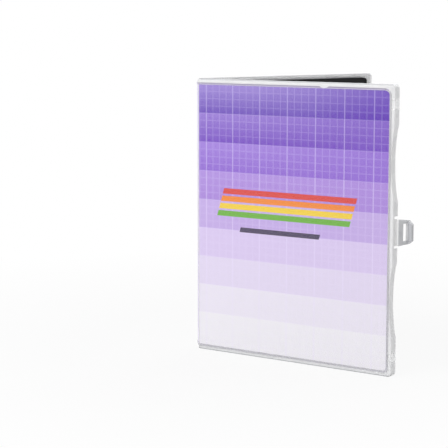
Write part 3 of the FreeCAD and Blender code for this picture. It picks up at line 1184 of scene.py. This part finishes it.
@dataclass
class CaseShell:
    """Trays, spine panel and latch with their print and film."""

    sizes: CaseSizes
    frames: dict[Panel, PanelFrame]
    front_haze: float = 0.82
    back_haze: float = 0.6
    weld: WeldMark = WeldMark("film_weld", "D6D4DC", (0.17, 0.42))

    def dress(self) -> None:
        """Gives each CAD node of the shell its finish."""
        set_finish("spine_panel", ClearPlastic().make())
        set_finish("latch_tab", LatchPlastic(arm=latch_frame()).make())
        self.dress_cover("front", Panel.FRONT, self.front_haze)
        self.dress_cover("back", Panel.BACK, self.back_haze)
        common = {"panel": self.frames[Panel.SPINE], "sizes": self.sizes}
        set_finish("spine_insert", SpinePrint(name="spine_print", **common).make())
        set_finish("spine_overlay", CoverFilm(name="spine_film", fore_weld=False, **common).make())

    def dress_cover(self, node: str, panel: Panel, haze: float) -> None:
        """Gives one cover, its print and its film their finishes.

        Args:
            node: First word of the nodes' names.
            panel: The cover.
            haze: How hazy its plastic is.
        """
        common = {"panel": self.frames[panel], "sizes": self.sizes}
        set_finish(node + "_cover", CoverPlastic(name=node + "_plastic", haze=haze, **common).make())
        set_finish(node + "_insert", BandPrint(name=node + "_print", **common).make())
        set_finish(node + "_overlay", CoverFilm(name=node + "_film", fore_weld=True, **common).make())

    def build(self, tree: SeamTree) -> list[bpy.types.Object]:
        """Makes the welds of the three films."""
        finish = self.weld.make()
        return [CoverWelds(panel, self.sizes).build(tree, self.frames[panel], finish) for panel in Panel]


@dataclass
class PocketPages:
    """Black pocket pages on their strap rings, with the welds that part the top page's pockets."""

    pages: int = 3
    rings: tuple[str, ...] = ("ring_lower", "ring_middle", "ring_upper")
    rows: int = 5
    columns: int = 4
    row_pitch: float = 43 * MM
    row_height: float = 40 * MM
    column_pitch: float = 36 * MM
    seam_inset: float = 1.25 * MM
    weld: WeldMark = WeldMark("pocket_weld", "8C8E96", (0.35, 0.6))
    seam: SeamSizes = SeamSizes(
        bead_width=0.9 * MM,
        bead_height=0.05 * MM,
        mark_spacing=2.2 * MM,
        mark_along=1.3 * MM,
        mark_across=0.55 * MM,
        mark_height=0.14 * MM,
    )

    def weld_paths(self, start: float, foot: float) -> list[Path]:
        """Draws the pocket welds: one along each row's foot, one beside each pocket.

        Args:
            start: Side of the first pocket, from the hinge.
            foot: Foot of the lowest row.

        Returns:
            The runs.
        """
        first = start + self.seam_inset
        last = start + self.columns * self.column_pitch - self.seam_inset
        paths = []
        for row in range(self.rows):
            low = foot + row * self.row_pitch
            level, top = low + self.seam_inset, low + self.row_height - self.seam_inset
            paths.append([(first, level), (last, level)])
            for column in range(self.columns + 1):
                x = min(max(start + column * self.column_pitch, first), last)
                paths.append([(x, level + self.seam.mark_spacing), (x, top)])
        return paths

    def build(self, tree: SeamTree, panel: PanelFrame) -> bpy.types.Object:
        """Makes the welds of the top page.

        Args:
            tree: Tree of the seams.
            panel: Frame of the back cover.

        Returns:
            The piece.
        """
        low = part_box(f"page_{self.pages}_pockets")[0]
        paths = self.weld_paths(low.x - panel.origin[0], low.z)
        flat = panel.flat(low.y - panel.origin[1])
        piece = tree.piece("pocket_welds", paths, self.seam, self.weld.make(), flat)
        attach(piece, Panel.BACK.value)
        return piece

    def dress(self) -> None:
        """Gives each CAD node of the pages its finish."""
        sheet = BlackSheet().make()
        film = PocketFilm().make()
        for number in range(1, self.pages + 1):
            set_finish(f"page_{number}_sheet", sheet)
            set_finish(f"page_{number}_pockets", film)
        ring = RingPlastic().make()
        for name in self.rings:
            set_finish(name, ring)


@dataclass(frozen=True)
class Lamp:
    """One soft lamp of the studio: its place and size in metres, its power in watts."""

    name: str
    place: tuple[float, float, float]
    size: float
    power: float


@dataclass
class Studio:
    """White floor, soft light and the camera: lengths in metres, angles in degrees, lens in mm."""

    camera_place: tuple[float, float, float] = (-0.78265, -1.0512, 0.2826)
    camera_turn: float = -34.265
    camera_drop: float = 8.027
    lens: float = 120.16
    floor_radius: float = 3.0
    floor_sides: int = 64
    floor_fade: tuple[float, float] = (0.16, 0.5)
    floor_tone: float = 0.55
    world_fill: float = 0.6
    shadow_share: float = 0.09
    white: Colour = (1.0, 1.0, 1.0, 1.0)
    aim: tuple[float, float, float] = (-0.03, -0.06, 0.12)
    lamps: tuple[Lamp, ...] = (
        Lamp("key_lamp", (-1.5, 0.0, 1.0), 1.2, 19.0),
        Lamp("side_lamp", (1.2, -0.8, 1.1), 1.1, 3.0),
        Lamp("inner_lamp", (1.3, 0.7, 1.0), 1.2, 14.0),
    )

    def camera(self) -> None:
        """Sets the camera at the photograph's viewing angle."""
        data = bpy.data.cameras.new("camera")
        data.lens = self.lens
        camera = bpy.data.objects.new("camera", data)
        camera.location = self.camera_place
        tilt, turn = math.radians(90 - self.camera_drop), math.radians(self.camera_turn)
        camera.rotation_euler = (tilt, 0.0, turn)
        bpy.context.scene.collection.objects.link(camera)
        bpy.context.scene.camera = camera

    def seen_ray(self, tree: bpy.types.NodeTree) -> Socket:
        """Mask of rays that show the background: from the camera, or by gloss or clear plastic.

        Args:
            tree: Tree that the mask goes in.

        Returns:
            1 for such a ray.
        """
        path = tree.nodes.new("ShaderNodeLightPath").outputs
        mask = path["Is Camera Ray"]
        for name in ("Is Glossy Ray", "Is Transmission Ray"):
            both = tree.nodes.new("ShaderNodeMath")
            both.operation = "MAXIMUM"
            tree.links.new(mask, both.inputs[0])
            tree.links.new(path[name], both.inputs[1])
            mask = both.outputs[0]
        return mask

    def world(self) -> None:
        """White surroundings, lighting the case at a plain level."""
        world = bpy.data.worlds.new("white_room")
        world.use_nodes = True
        tree = world.node_tree
        background = tree.nodes["Background"]
        background.inputs["Color"].default_value = self.white
        level = tree.nodes.new("ShaderNodeMapRange")
        level.inputs["To Min"].default_value = self.world_fill
        tree.links.new(self.seen_ray(tree), level.inputs["Value"])
        tree.links.new(level.outputs[0], background.inputs["Strength"])
        bpy.context.scene.world = world

    def floor_finish(self) -> Material:
        """Builds the floor's material: white to the camera, with a faint shadow near the case.

        Returns:
            The material.
        """
        g = Graph("floor_white")
        tone = (self.floor_tone, self.floor_tone, self.floor_tone, 1.0)
        matt = g.node("ShaderNodeBsdfDiffuse", {"Color": tone})
        glow = g.node("ShaderNodeEmission", {"Color": self.white, "Strength": 1.0})
        away = g.node("ShaderNodeVectorMath", {0: g.place()}, operation="LENGTH").outputs["Value"]
        lit = g.fade(away, *self.floor_fade, 1.0 - self.shadow_share, 1.0)
        share = g.math("MULTIPLY", self.seen_ray(g.tree), lit)
        both = g.node("ShaderNodeMixShader", {0: share, 1: matt.outputs[0], 2: glow.outputs[0]})
        g.node("ShaderNodeOutputMaterial", {"Surface": both.outputs[0]})
        return g.material

    def floor(self) -> None:
        """Lays the round floor."""
        angles = [2 * math.pi * i / self.floor_sides for i in range(self.floor_sides)]
        reach = self.floor_radius
        corners = [(reach * math.cos(angle), reach * math.sin(angle), 0.0) for angle in angles]
        mesh = bpy.data.meshes.new("floor")
        mesh.from_pydata(corners, [], [tuple(range(self.floor_sides))])
        mesh.materials.append(self.floor_finish())
        floor = bpy.data.objects.new("floor", mesh)
        bpy.context.scene.collection.objects.link(floor)

    def light(self) -> None:
        """Hangs the soft lamps."""
        for lamp in self.lamps:
            data = bpy.data.lights.new(lamp.name, "AREA")
            data.size = lamp.size
            data.energy = lamp.power
            light = bpy.data.objects.new(lamp.name, data)
            light.location = lamp.place
            reach = Vector(self.aim) - Vector(lamp.place)
            light.rotation_euler = reach.to_track_quat("-Z", "Y").to_euler()
            bpy.context.scene.collection.objects.link(light)

    def build(self) -> None:
        """Sets the whole studio up."""
        self.camera()
        self.world()
        self.floor()
        self.light()
        bpy.context.scene.view_settings.view_transform = "Standard"


def main() -> None:
    """Builds the pieces in order and reports each."""
    logging.basicConfig(level=logging.INFO, format="%(name)s: %(message)s")
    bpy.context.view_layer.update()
    sizes = CaseSizes()
    frames = panel_frames(sizes)
    tree = SeamTree()
    shell = CaseShell(sizes, frames)
    shell.dress()
    pages = PocketPages()
    pages.dress()
    for piece in (*shell.build(tree), pages.build(tree, frames[Panel.BACK])):
        LOG.info("piece %s: %d faces", piece.name, len(piece.data.polygons))
    Studio().build()


if __name__ == "__main__":
    main()
